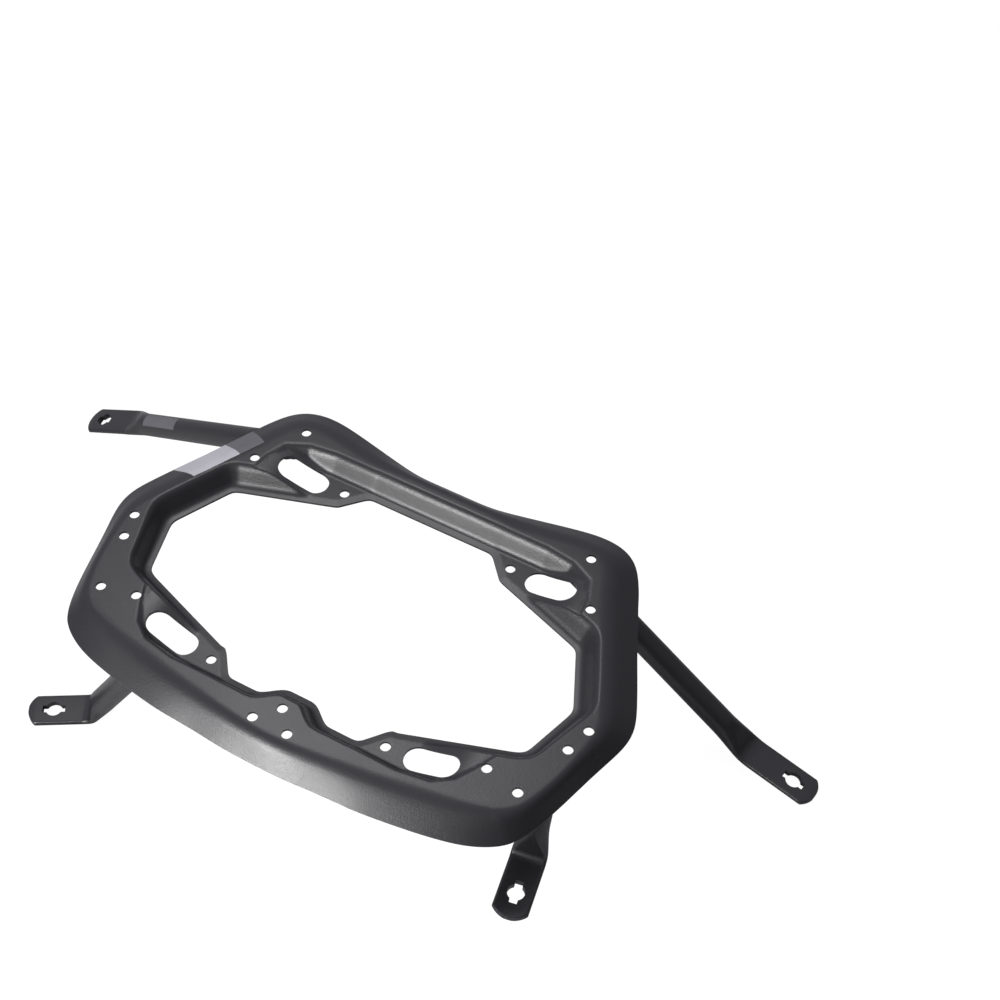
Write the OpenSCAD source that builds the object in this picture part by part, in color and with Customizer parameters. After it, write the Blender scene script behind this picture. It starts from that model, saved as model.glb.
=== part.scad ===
// Side carrier plate for a motorcycle, with four welded tube stays.
// Millimetres. X runs along the plate, Y from the bulged edge to the waisted edge,
// and Z out of the plate. The origin is the centre of the case holes, on the outer face.

/* [Plate] */
// Length of the plate over its cut edges
plate_length = 399; // [385:1:410]
// Width of the plate over its cut edges, from the bulged edge to the waisted corners
plate_width = 269.6; // [262:0.2:280]
// Thickness of the sheet
sheet = 2; // [1.5:0.1:2.4]
// Depth that the plate is drawn below its outer face
draw_depth = 12.5; // [10:0.5:15]
// Flat lip round the centre opening
lip = 5; // [3:0.5:6]
// Run of the wall between the lip and the outer face, on the bulged side
wall_run = 6; // [5:0.5:7]
// Run of the same wall on the waisted side
waist_wall_run = 9; // [8:0.5:10]
// Softness of the bend at the top of the wall
crest_soft = 3.5; // [2:0.5:5]
// Softness of the bend at the top of the outer bevel
bevel_soft = 4; // [2:0.5:5]

/* [Plate holes] */
// Diameter of the round holes
hole_d = 7; // [5:0.5:8]
// Distance of the case holes from the middle, along the plate
case_x = 134; // [133:0.5:135]
// Distance of the case holes from the middle, across the plate
case_y = 69.5; // [68.5:0.5:70.5]
// Place of the holes near the waisted edge
waist_hole = [115, 107]; // [100:1:130]
// Place of the corner holes near the bulged edge
corner_hole = [159, -75]; // [-80:1:165]
// Place of the upper holes in the side bands
side_hole = [176.5, -14.5]; // [-20:0.5:180]
// Place of the lower holes in the side bands
low_side_hole = [171.5, -33]; // [-40:0.5:175]
// Place of the two holes near the middle of the bulged edge
middle_hole = [13, -110]; // [-112:1:15]
// Place of the single hole above them
top_middle_hole = [0, -95.5]; // [-97:0.5:1]
// Place of the holes in the four sunken tabs
tab_hole = [67, 81]; // [65:0.5:82]

/* [Slots] */
// Length of a slot over its round ends
slot_length = 38; // [34:0.5:40]
// Width of a slot
slot_width = 18.5; // [14:0.5:20]
// Centre of a slot
slot_centre = [99.4, 78.5]; // [76:0.5:100]
// Slope of a slot along the plate, in degrees
slot_turn = 4; // [0:0.5:6]

/* [Stays] */
// Outer diameter of the round tube
tube_d = 18; // [16:0.5:19]
// Wall of the tube
tube_wall = 2; // [1.2:0.1:3]
// Width of the flattened tube end
tab_width = 24; // [22:0.5:26]
// Thickness of the flattened tube end
tab_thick = 4.4; // [3.6:0.1:6]
// Length over which a tube goes flat
press_length = 28; // [20:1:34]
// Distance from the keyed hole to the corners of the tab's end
tip_corner = 12.5; // [11:0.5:14]
// Distance from the keyed hole to the end of the tab
tip_end = 18; // [16:0.5:19]
// Round part of the keyed hole
key_d = 11.5; // [9:0.5:12]
// Width of the two notches of the keyed hole
key_width = 5.5; // [4:0.5:7]
// Length of the keyed hole over its notches
key_length = 16; // [13:0.5:17]
// Thickness of the weld bead round a tube's start
bead_d = 2.5; // [2:0.5:3]

/* [Long left stay] */
// Start of the tube's axis under the plate
left_start = [-127.3, 93.9, -6]; // [-130:0.1:100]
// Centre of the keyed hole on the tab's outer face
left_hole = [-350, 139, -146]; // [-360:0.1:140]
// Length of the tab from its bend to the keyed hole
left_flat = 36; // [26:0.1:40]

/* [Long right stay] */
// Start of the tube's axis under the plate
right_start = [89, 109.5, -12]; // [-20:0.1:110]
// Centre of the keyed hole on the tab's outer face
right_hole = [289.7, 83.5, -110]; // [-120:0.1:300]
// Length of the tab from its bend to the keyed hole
right_flat = 36; // [26:0.1:40]

/* [Short left stay] */
// Start of the tube's axis under the plate
low_left_start = [-103, -106, -11.5]; // [-110:0.1:0]
// Centre of the keyed hole on the tab's outer face
low_left_hole = [-193.2, -117.3, -120]; // [-200:0.1:0]
// Length of the tab from its bend to the keyed hole
low_left_flat = 27.5; // [26:0.1:40]

/* [Short right stay] */
// Start of the tube's axis under the plate
low_right_start = [168.4, -58, -11]; // [-60:0.1:170]
// Centre of the keyed hole on the tab's outer face
low_right_hole = [176, -106, -62]; // [-110:0.1:180]
// Length of the tab from its bend to the keyed hole
low_right_flat = 28.3; // [26:0.1:40]

/* [Hidden] */
powder_coat = [0.16, 0.16, 0.17];
hole_facets = 48;
tube_facets = 64;

// Right half of the plate's outer edge as drawn, from the bulged side to the waisted side
drawn_rim = [[0, -133], [24, -132.7], [47, -130.6], [75, -129.6], [105.4, -125.5], [124, -122.3],
    [141, -118.3], [153, -113.6], [164, -107], [171.8, -98.7], [178, -84], [183.1, -66.9],
    [191.3, -33.9], [196.4, -16], [199, -6], [199.5, 3], [197.5, 12], [187.6, 33.1],
    [172.7, 62.8], [159, 91.9], [151.5, 108], [144, 121], [136.5, 129.5], [126, 135],
    [114, 136.6], [103, 135.8], [80, 131], [55, 125.3], [31, 120.3], [0, 120.3]];
drawn_length = 2 * max([for (p = drawn_rim) p.x]);
drawn_width = max([for (p = drawn_rim) p.y]) - min([for (p = drawn_rim) p.y]);
// A point of the drawing, moved to where the plate's length and width put it
function on_plate(p) = [p.x * (plate_length / drawn_length), p.y * (plate_width / drawn_width)];
function sized(outline) = [for (p = outline) on_plate(p)];
// The same for the start of a tube under the plate
function under_plate(p) = [on_plate(p).x, on_plate(p).y, p.z];
rim = sized(drawn_rim);
// Right half of the bend between the outer face and the bevel
crease = sized([[0, -119], [30, -116.5], [60, -112.5], [80, -110], [100, -106.5], [120, -103],
    [140, -99], [155, -94], [165, -87], [169, -80], [175, -63], [179, -47], [182.5, -27],
    [184.5, -12], [183.5, -3], [179, 6], [171, 23], [160, 44], [151, 63], [140, 85],
    [135, 97], [130.5, 107], [124, 114.5], [115, 118], [100, 117], [80, 113.5], [60, 110], [0, 110]]);
// Right half of the centre opening's edge
opening = sized([[0, -75.6], [9, -75.6], [12.3, -76.6], [15.5, -78.6], [22.6, -84.3], [25.7, -86.2],
    [29, -86.4], [48.3, -86.4], [51.4, -84.3], [61.7, -71.5], [64.8, -68.6], [68, -68.5],
    [141, -43.5], [145, -41.2], [147, -38], [157, -3], [157.5, 0], [157, 3],
    [138.2, 42], [136.8, 44.2], [134.7, 45.6], [68, 68], [65, 69.3], [61.7, 73],
    [51.4, 84.3], [48.3, 86.4], [0, 86.4]]);
// Outer bounds of the sunken tabs, with their slots
waist_pocket = sized([[126, 53], [129, 61], [126, 74], [118, 88], [105, 96.5], [85, 100.4],
    [-10, 100.4]]);
bulge_pocket = sized([[-10, -86.6], [9, -86.6], [17, -89], [29, -97], [85, -97.4], [108, -93.5],
    [120, -85], [127, -73], [133, -60], [131, -49]]);
// The tabs rise to the outer face between these two distances from the middle
ramp_start = 86;
ramp_end = 128;
// Stretch of the wall's run, across the plate
wall_turn_from = -50;
wall_turn_to = 30;

stations_half = 72;
spread = [165, 100];
flat_rings = 8;
crest_margin = 3;
foot_soft = 1.5;
crease_margin = 5;
probe = 5;

function clamp(v) = min(1, max(0, v));
function ease(t) = t * t * (3 - 2 * t);
function mix(a, b, t) = a + (b - a) * t;
function smooth_min(a, b, k) = min(a, b) - pow(max(k - abs(a - b), 0), 2) / (4 * k);
function smooth_max(a, b, k) = -smooth_min(-a, -b, k);
function unit(v) = v / norm(v);
function turn(a, b) = a.x * b.y - a.y * b.x;
function polar(p) = atan2(p.y, p.x);

// Distance from a point to a line between two points
function to_line(p, a, b) = norm(p - mix(a, b, clamp((p - a) * (b - a) / ((b - a) * (b - a)))));
// Distance from a point to a chain of lines
function to_chain(p, chain) = min([for (i = [0:len(chain) - 2]) to_line(p, chain[i], chain[i + 1])]);
// Distance from the origin to a chain, along a direction, by the piece of the chain that it meets
function piece_at(chain, a, i = 0) =
    i >= len(chain) - 2 || polar(chain[i + 1]) >= a ? i : piece_at(chain, a, i + 1);
function reach(chain, dir, i) =
    turn(chain[i], chain[i + 1] - chain[i]) / turn(dir, chain[i + 1] - chain[i]);
function radius(chain, a) = reach(chain, [cos(a), sin(a)], piece_at(chain, a));

// Directions of the stations: points spread evenly along a rectangle's right half
half_way = 2 * spread.x + 2 * spread.y;
function on_rectangle(t) =
    t < spread.x ? [t, -spread.y]
    : t < spread.x + 2 * spread.y ? [spread.x, t - spread.x - spread.y]
    : [half_way - t, spread.y];
even_angles = [for (i = [0:stations_half]) polar(on_rectangle(half_way * i / stations_half))];
corner_angles = [for (p = opening) polar(p)];
// A station moves onto the opening's nearest corner, so that the edge keeps its corners
function snapped(i) = let (
        low = (even_angles[i - 1] + even_angles[i]) / 2,
        high = (even_angles[i] + even_angles[i + 1]) / 2,
        near = [for (c = corner_angles) if (c > low && c < high) c])
    len(near) == 0 ? even_angles[i] : near[floor(len(near) / 2)];
angles = [for (i = [0:stations_half])
    i == 0 || i == stations_half ? even_angles[i] : snapped(i)];

// True where a direction crosses a sunken tab
function in_tab(chain, a) = a > polar(chain[0]) && a < polar(chain[len(chain) - 1]);
function tab_chain(a) = a > 0 ? waist_pocket : bulge_pocket;

// Height of the outer face, from the distances to the edges
function ramp(x) = let (t = clamp((x - ramp_start) / (ramp_end - ramp_start)))
    -draw_depth * (1 - (t + ease(t)) / 2);
function run_at(y) = mix(wall_run, waist_wall_run,
    ease(clamp((y - wall_turn_from) / (wall_turn_to - wall_turn_from))));
function wall_height(p) = smooth_max(-draw_depth,
    -draw_depth + (to_chain(p, opening) - lip) * draw_depth / run_at(p.y), foot_soft);
function pocket_height(p, a, r) = let (chain = tab_chain(a))
    !in_tab(chain, a) || r > radius(chain, a) ? 0
    : min(0, smooth_max(ramp(p.x), -to_chain(p, chain) * draw_depth / run_at(p.y), foot_soft));
function bevel_height(a, r) = let (outer = radius(rim, a), inner = radius(crease, a))
    -draw_depth * (r - inner) / (outer - inner);
function height(a, r) = let (p = r * [cos(a), sin(a)])
    max(-draw_depth, smooth_min(bevel_height(a, r),
        smooth_min(wall_height(p), pocket_height(p, a, r), crest_soft), bevel_soft));

// Distances of the rings from the origin, along one direction
function rings(a) = let (
        edge = radius(opening, a),
        slant = probe / to_chain((edge + probe) * [cos(a), sin(a)], opening),
        foot = edge + lip * slant,
        run = run_at(edge * sin(a)),
        chain = tab_chain(a),
        sunk = in_tab(chain, a),
        plain = edge + (lip + run + crest_margin) * slant,
        bound = sunk ? radius(chain, a) : plain - crest_margin * slant,
        top = max(plain, bound + crest_margin),
        low = bound - run - 0.5,
        tab_share = sunk ? clamp((low - foot - 8) / 8) : 0,
        bend = radius(crease, a),
        outer = radius(rim, a),
        inner_bend = max(top + 0.5, bend - crease_margin),
        outer_bend = mix(bend, outer, crease_margin / max(2 * crease_margin, outer - bend)),
        even = [for (i = [0:flat_rings]) mix(foot, top, i / flat_rings)],
        climbed = foot + run / 2 * slant,
        tab = [foot, foot + run / 4 * slant, climbed, mix(climbed, low, 0.4),
            mix(climbed, low, 0.75), low, bound - run / 2, bound, top])
    concat([edge],
        [for (i = [0:flat_rings]) mix(even[i], tab[i], tab_share)],
        [(top + inner_bend) / 2, inner_bend, bend - (bend - inner_bend) / 3, bend + (outer_bend - bend) / 3,
            outer_bend, (outer_bend + outer) / 2, outer]);

// Outer face of the right half, then of the whole ring
half_face = [for (a = angles) [for (r = rings(a)) let (z = height(a, r)) [r * cos(a), r * sin(a), z]]];
face = concat(half_face, [for (i = [stations_half - 1:-1:1]) [for (p = half_face[i]) [-p.x, p.y, p.z]]]);
station_count = len(face);
ring_count = len(face[0]);
function around(i) = (i + station_count) % station_count;
function face_normal(i, j) = unit(cross(
    face[i][min(j + 1, ring_count - 1)] - face[i][max(j - 1, 0)],
    face[around(i + 1)][j] - face[around(i - 1)][j]));
inner_face = [for (i = [0:station_count - 1]) [for (j = [0:ring_count - 1])
    face[i][j] - sheet * face_normal(i, j)]];

function flatten(rows) = [for (row = rows) each row];
// Triangles between two stations of a closed ring, with the first index of the face given
function strip(first, i, j, flip) = let (
        a = first + i * ring_count + j,
        b = first + around(i + 1) * ring_count + j)
    flip ? [[a, b, b + 1], [a, b + 1, a + 1]] : [[a, b + 1, b], [a, a + 1, b + 1]];
function side(i, j, flip) = let (
        a = i * ring_count + j,
        b = around(i + 1) * ring_count + j,
        c = a + station_count * ring_count,
        d = b + station_count * ring_count)
    flip ? [[a, d, b], [a, c, d]] : [[a, b, d], [a, d, c]];

module pressed_sheet() {
    under = station_count * ring_count;
    last = ring_count - 1;
    polyhedron(
        points = concat(flatten(face), flatten(inner_face)),
        faces = concat(
            [for (i = [0:station_count - 1], j = [0:last - 1]) each strip(0, i, j, false)],
            [for (i = [0:station_count - 1], j = [0:last - 1]) each strip(under, i, j, true)],
            [for (i = [0:station_count - 1]) each side(i, 0, true)],
            [for (i = [0:station_count - 1]) each side(i, last, false)]));
}

module drilled(place) {
    translate([place.x, place.y, -2 * draw_depth])
        cylinder(d = hole_d, h = 3 * draw_depth, $fn = hole_facets);
}

module slot(turned) {
    straight = slot_length - slot_width;
    rotate([0, 0, turned])
        translate([0, 0, -2 * draw_depth]) {
            for (end = [-1, 1])
                translate([end * straight / 2, 0, 0])
                    cylinder(d = slot_width, h = 3 * draw_depth, $fn = hole_facets);
            translate([-straight / 2, -slot_width / 2, 0])
                cube([straight, slot_width, 3 * draw_depth]);
        }
}

module carrier_plate() {
    color(powder_coat)
        difference() {
            pressed_sheet();
            for (side_sign = [-1, 1]) {
                for (up = [-1, 1]) {
                    drilled(on_plate([side_sign * case_x, up * case_y]));
                    drilled(on_plate([side_sign * tab_hole.x, up * tab_hole.y]));
                    translate(on_plate([side_sign * slot_centre.x, up * slot_centre.y]))
                        slot(-side_sign * up * slot_turn);
                }
                for (place = [waist_hole, corner_hole, side_hole, low_side_hole, middle_hole])
                    drilled(on_plate([side_sign * place.x, place.y]));
            }
            drilled(on_plate(top_middle_hole));
        }
}

// Flattened round section: half width, half thickness, along a width and a thickness direction
section_facets = 24;
function flat_round(centre, wide, thick, half_width, half_thick) =
    [for (k = [0:section_facets - 1]) let (a = 360 * (k + 0.5) / section_facets)
        centre + wide * (sign(cos(a)) * (half_width - half_thick) + half_thick * cos(a))
            + thick * half_thick * sin(a)];

module loft(rows) {
    n = len(rows[0]);
    m = len(rows);
    polyhedron(
        points = flatten(rows),
        faces = concat(
            [[for (k = [0:n - 1]) k]],
            [for (i = [0:m - 2], k = [0:n - 1]) each [
                [i * n + k, (i + 1) * n + k, (i + 1) * n + (k + 1) % n],
                [i * n + k, (i + 1) * n + (k + 1) % n, i * n + (k + 1) % n]]],
            [[for (k = [n - 1:-1:0]) (m - 1) * n + k]]));
}

// Pose with X along one direction and Z near another
module along(origin, x_dir, z_hint) {
    y_dir = unit(cross(z_hint, x_dir));
    z_dir = cross(x_dir, y_dir);
    multmatrix([
        [x_dir.x, y_dir.x, z_dir.x, origin.x],
        [x_dir.y, y_dir.y, z_dir.y, origin.y],
        [x_dir.z, y_dir.z, z_dir.z, origin.z],
        [0, 0, 0, 1]])
        children();
}

// Everything on one side of a plane
cut_size = 90;
module beyond(origin, normal) {
    along(origin, unit(cross(normal, [1, 0, 0])), normal)
        translate([-cut_size / 2, -cut_size / 2, 0])
            cube(cut_size);
}

// Space above the plate's inner face near one place, from planes along its top, bevel and wall
fit_gap = 0.05;
wall_ring = 7;
bevel_ring = ring_count - 3;
function nearest_station(place) = let (
        gaps = [for (i = [0:station_count - 1]) norm([face[i][bevel_ring].x - place.x,
            face[i][bevel_ring].y - place.y])])
    search(min(gaps), gaps)[0];
module above_plate(place, drop) {
    middle = nearest_station(place);
    difference() {
        union() {
            beyond([place.x, place.y, -sheet - drop], [0, 0, 1]);
            for (spot = [[-4, bevel_ring], [0, bevel_ring], [4, bevel_ring], [0, wall_ring]]) {
                i = around(middle + spot[0]);
                normal = face_normal(i, spot[1]);
                beyond(inner_face[i][spot[1]] - drop * normal, normal);
            }
        }
        outside_rim(place, -fit_gap);
    }
}
module outside_rim(place, inset) {
    rim_point = face[nearest_station(place)][ring_count - 1];
    bend_point = face[nearest_station(place)][bevel_ring];
    outward = unit([rim_point.x - bend_point.x, rim_point.y - bend_point.y, 0]);
    beyond(rim_point - inset * outward, outward);
}

press_steps = 9;
tip_steps = 5;
void_steps = 5;
bend_reach = 7;
seam = 0.2;
// Rows of a tube end that goes flat and then bends at the knee, which is distance 0
function press_rows(knee, tube_dir, tab_dir, tube_side, tab_side, wall, from, to, steps) =
    [for (k = [0:steps]) let (
            d = mix(from, to, k / steps),
            flat = ease(clamp(1 + d / press_length)),
            t = clamp((d + bend_reach) / (2 * bend_reach)),
            centre = knee + min(d, -bend_reach) * tube_dir
                + bend_reach * (1 - pow(1 - t, 2)) * tube_dir + bend_reach * t * t * tab_dir,
            dir = unit(mix(tube_dir, tab_dir, t)),
            sidewise = mix(tube_side, tab_side, flat),
            wide = unit(sidewise - dir * (sidewise * dir)),
            half_thick = max(0.3, mix(tube_d / 2 - seam, tab_thick / 2, flat) - wall),
            half_width = mix(tube_d / 2 - seam, tab_width / 2, flat) - wall)
        flat_round(centre, wide, cross(dir, wide), half_width, half_thick)];
function tip_rows(knee, tab_dir, tab_side, flat_length) = let (
        rise = tip_end - tip_corner,
        tip_radius = (pow(tab_width / 2, 2) + pow(rise, 2)) / (2 * rise),
        corner_angle = asin(tab_width / 2 / tip_radius),
        last_angle = asin(tab_thick / 2 / tip_radius) + 1)
    [for (k = [0:tip_steps]) let (
            a = mix(corner_angle, last_angle, k / tip_steps),
            x = flat_length + tip_end - tip_radius + tip_radius * cos(a))
        flat_round(knee + x * tab_dir, tab_side, cross(tab_dir, tab_side), tip_radius * sin(a), tab_thick / 2)];

// Round bar along the tube's axis, from behind its start
start_back = 24;
module bar(start, tube_dir, diameter, length) {
    along(start - start_back * tube_dir, tube_dir, [0, 0, 1])
        rotate([0, 90, 0])
            cylinder(d = diameter, h = length, $fn = tube_facets);
}

module stay(start, hole, tab_dir, tab_normal, flat_length) {
    knee = hole - flat_length * tab_dir - tab_thick / 2 * tab_normal;
    tube_dir = unit(knee - start);
    tab_side = cross(tab_normal, tab_dir);
    tube_side = unit(tab_side - tube_dir * (tab_side * tube_dir));
    length = norm(knee - start) - press_length + start_back + seam;
    color(powder_coat)
        difference() {
            union() {
                bar(start, tube_dir, tube_d, length);
                loft(concat(
                    press_rows(knee, tube_dir, tab_dir, tube_side, tab_side, 0,
                        -press_length, bend_reach, press_steps),
                    tip_rows(knee, tab_dir, tab_side, flat_length)));
                difference() {
                    intersection() {
                        bar(start, tube_dir, tube_d + 2 * bead_d, 3 * start_back);
                        above_plate(start, bead_d);
                    }
                    outside_rim(start, bead_d);
                }
            }
            translate(-tube_dir)
                bar(start, tube_dir, tube_d - 2 * tube_wall, length + 1);
            loft(press_rows(knee, tube_dir, tab_dir, tube_side, tab_side, tube_wall,
                -press_length - 1, -press_length / 4, void_steps));
            above_plate(start, fit_gap);
            along(hole, tab_dir, tab_normal) {
                translate([0, 0, -2 * tab_thick])
                    cylinder(d = key_d, h = 3 * tab_thick, $fn = hole_facets);
                translate([-key_length / 2, -key_width / 2, -2 * tab_thick])
                    cube([key_length, key_width, 3 * tab_thick]);
            }
        }
}

module long_stay_left() {
    stay(under_plate(left_start), left_hole, unit([-0.881, 0.033, -0.472]), unit([-0.47, -0.169, 0.866]),
        left_flat);
}

module long_stay_right() {
    stay(under_plate(right_start), right_hole, unit([0.983, -0.147, -0.111]), unit([0.115, 0.033, 0.993]),
        right_flat);
}

module short_stay_left() {
    stay(under_plate(low_left_start), low_left_hole, unit([-0.853, -0.522, 0]), [0, 0, 1], low_left_flat);
}

module short_stay_right() {
    stay(under_plate(low_right_start), low_right_hole, unit([0.2, -0.975, 0.05]), unit([0.02, 0.055, 1]),
        low_right_flat);
}

carrier_plate();
long_stay_left();
long_stay_right();
short_stay_left();
short_stay_right();
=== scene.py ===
# %% [markdown]
# Side carrier plate of a motorcycle, with four welded stays.
#
# The carrier is one sheet of steel, deep-drawn into a hollow ring, with round stays whose ends are
# pressed flat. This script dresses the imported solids: it rebuilds the plate and the stays as finer
# surfaces from the same formulas, gives them a satin powder coat, adds the weld beads and three
# blank labels, and sets the floor, the lights and the camera.
#
# Lengths are in millimetres until the last step, which makes them metres. X runs along the plate,
# Y from the bulged edge to the waisted edge, and Z out of the plate's outer face.

# %% Load the frame
import math

import bmesh
import bpy
import numpy as np
from mathutils import Matrix


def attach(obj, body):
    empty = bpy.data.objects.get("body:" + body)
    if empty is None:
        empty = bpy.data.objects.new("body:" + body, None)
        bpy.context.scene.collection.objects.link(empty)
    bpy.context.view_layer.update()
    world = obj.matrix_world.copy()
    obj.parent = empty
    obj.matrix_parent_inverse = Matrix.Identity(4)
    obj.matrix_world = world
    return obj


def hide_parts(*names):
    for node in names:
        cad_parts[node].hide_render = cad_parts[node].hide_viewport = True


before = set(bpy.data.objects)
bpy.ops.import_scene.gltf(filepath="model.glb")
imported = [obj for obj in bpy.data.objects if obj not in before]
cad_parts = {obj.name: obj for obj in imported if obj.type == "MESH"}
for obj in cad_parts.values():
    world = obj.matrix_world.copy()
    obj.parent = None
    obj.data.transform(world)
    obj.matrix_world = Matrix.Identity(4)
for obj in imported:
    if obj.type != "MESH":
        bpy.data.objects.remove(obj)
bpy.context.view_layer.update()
print("frame nodes:", sorted(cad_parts))

MM = 0.001

# %% [markdown]
# Small helpers for curves in a plane. On the real sheet the radius of a press tool rounds every place
# where two slopes meet. A fillet along each edge could do the same. Smooth minimum and maximum do it
# for all edges at once, with no edge to pick, so they are used here.

# %% Plane geometry


def ease(t):
    """Smooth step: three times t squared less twice t cubed, for t from 0 to 1."""
    t = np.clip(t, 0.0, 1.0)
    return t * t * (3.0 - 2.0 * t)


def smooth_min(a, b, k):
    """The lesser of a and b, less the square of (k less their gap) over four k where they are near."""
    return np.minimum(a, b) - np.maximum(k - np.abs(a - b), 0.0) ** 2 / (4.0 * k)


def smooth_max(a, b, k):
    """The greater of a and b, rounded the same way."""
    return -smooth_min(-a, -b, k)


def unit(v):
    """A vector, or rows of vectors, over its length."""
    v = np.asarray(v, dtype=float)
    return v / np.linalg.norm(v, axis=-1, keepdims=True)


def to_chain(points, chain):
    """Distance of each point from a chain of straight lines: the least distance to any of them."""
    a = chain[:-1]
    step = chain[1:] - a
    gap = points[..., None, :] - a
    share = np.clip((gap * step).sum(-1) / (step * step).sum(-1), 0.0, 1.0)
    return np.linalg.norm(gap - share[..., None] * step, axis=-1).min(-1)


def radius(chain, angle):
    """Distance from the origin to a chain along each direction.

    For the line from p to q and the direction u, it is the cross product of p and q less p, over
    the cross product of u and q less p.
    """
    bearing = np.arctan2(chain[:, 1], chain[:, 0])
    i = np.clip(np.searchsorted(bearing, angle, side="left") - 1, 0, len(chain) - 2)
    p = chain[i]
    step = chain[i + 1] - p
    u = np.stack([np.cos(angle), np.sin(angle)], -1)
    return (p[..., 0] * step[..., 1] - p[..., 1] * step[..., 0]) / (
        u[..., 0] * step[..., 1] - u[..., 1] * step[..., 0]
    )


# %% [markdown]
# The plate is one sheet drawn by a press tool, and its dimensions are those of its solid: the depth
# of the draw, the lip round the centre opening, the steep wall inside it, the outlines and the places
# of the holes. The solid's own mesh could be smoothed instead, but the formulas give nearly the same
# face more finely. Against the solid, the bends are softer, the lip falls a little, and the waisted
# side's pocket runs 1 to 3 mm further out.

# %% Plate dimensions
SHEET = 2.0
DRAW = 12.5
LIP = 5.0
WALL_RUN = 6.0
WAIST_WALL_RUN = 9.0
WALL_TURN = (-50.0, 30.0)
CREST_SOFT = 4.5
BEVEL_SOFT = 4.5
FOOT_SOFT = 3.0
WALL_BLEND = 1.5
LIP_DROP = 0.7
RAMP = (86.0, 128.0)

RIM = np.array([(0, -133), (24, -132.7), (47, -130.6), (75, -129.6), (105.4, -125.5), (124, -122.3),
                (141, -118.3), (153, -113.6), (164, -107), (171.8, -98.7), (178, -84), (183.1, -66.9),
                (191.3, -33.9), (196.4, -16), (199, -6), (199.5, 3), (197.5, 12), (187.6, 33.1),
                (172.7, 62.8), (159, 91.9), (151.5, 108), (144, 121), (136.5, 129.5), (126, 135),
                (114, 136.6), (103, 135.8), (80, 131), (55, 125.3), (31, 120.3), (0, 120.3)])
CREASE = np.array([(0, -119), (30, -116.5), (60, -112.5), (80, -110), (100, -106.5), (120, -103),
                   (140, -99), (155, -94), (165, -87), (169, -80), (175, -63), (179, -47),
                   (182.5, -27), (184.5, -12), (183.5, -3), (179, 6), (171, 23), (160, 44),
                   (151, 63), (140, 85), (135, 97), (130.5, 107), (124, 114.5), (115, 118),
                   (100, 117), (80, 113.5), (60, 110), (0, 110)])
OPENING = np.array([(0, -75.6), (9, -75.6), (12.3, -76.6), (15.5, -78.6), (22.6, -84.3),
                    (25.7, -86.2), (29, -86.4), (48.3, -86.4), (51.4, -84.3), (61.7, -71.5),
                    (64.8, -68.6), (68, -68.5), (141, -43.5), (145, -41.2), (147, -38), (157, -3),
                    (157.5, 0), (157, 3), (138.2, 42), (136.8, 44.2), (134.7, 45.6), (68, 68),
                    (65, 69.3), (61.7, 73), (51.4, 84.3), (48.3, 86.4), (0, 86.4)])
WAIST_POCKET = np.array([(126, 53), (129, 61), (127, 76), (121, 90), (106, 97.5), (85, 100.4),
                         (-10, 100.4)])
BULGE_POCKET = np.array([(-10, -86.6), (9, -86.6), (17, -89), (29, -97), (85, -97.4), (108, -93.5),
                         (120, -85), (127, -73), (133, -60), (131, -49)])

HOLE_D = 7.0
HOLES = [(134, 69.5), (134, -69.5), (67, 81), (67, -81), (115, 107), (159, -75), (176.5, -14.5),
         (171.5, -33), (13, -110)]
TOP_MIDDLE_HOLE = (0, -95.5)
SLOT_LENGTH = 38.0
SLOT_WIDTH = 18.5
SLOT_CENTRE = (99.4, 78.5)
SLOT_TURN = math.radians(4.0)
print("plate:", 2 * RIM[:, 0].max(), "by", round(RIM[:, 1].max() - RIM[:, 1].min(), 1), "mm")

# %% [markdown]
# The plate's outer face is the lowest of three surfaces: the bevel that falls from the crease to the
# cut edge, the steep wall that falls to the lip round the opening, and the pockets round the slots,
# which rise along a ramp. A rough cage could be subdivided, but its walls would drift away from the
# solid's. So the height is a formula, sampled at stations round the ring and at rings that run
# outwards from each station.

# %% Plate surface
STATIONS = 640
STATION_BOX = (165.0, 100.0)
SHARP_CORNER = 2
BOUND_CORNER = 4
SOFT_CORNER = 9
RING_COUNTS = (2, 34, 4, 8, 5)
PROBE = 5.0
LIP_RINGS_REACH = 0.8
BEND_HALF = 5.0
BOUND_GAP = 5.5
EDGE_TURNS = np.radians([40.0, 90.0, 140.0])
EDGE_BULGE = 0.35
EDGE_HEIGHT = 0.93


def station_angles():
    """Bearings of points spread evenly along the right half of a rectangle."""
    wide, high = STATION_BOX
    t = np.linspace(0.0, 2 * wide + 2 * high, STATIONS // 2 + 1)
    x = np.where(t < wide, t, np.where(t < wide + 2 * high, wide, 2 * wide + 2 * high - t))
    y = np.where(t < wide, -high, np.where(t < wide + 2 * high, t - wide - high, high))
    return np.arctan2(y, x)


def soften(values, pad):
    """Mean over neighbouring stations, carried past the ends by mirroring, so corners turn softly."""
    ends = (values[pad:0:-1], values[-2:-pad - 2:-1])
    window = np.hanning(2 * pad + 3)[1:-1]
    return np.convolve(np.concatenate([ends[0], values, ends[1]]), window / window.sum(), "valid")


def run_at(y):
    """Run of the wall: it grows smoothly from the bulged side to the waisted side."""
    share = ease((y - WALL_TURN[0]) / (WALL_TURN[1] - WALL_TURN[0]))
    return WALL_RUN + (WAIST_WALL_RUN - WALL_RUN) * share


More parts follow.
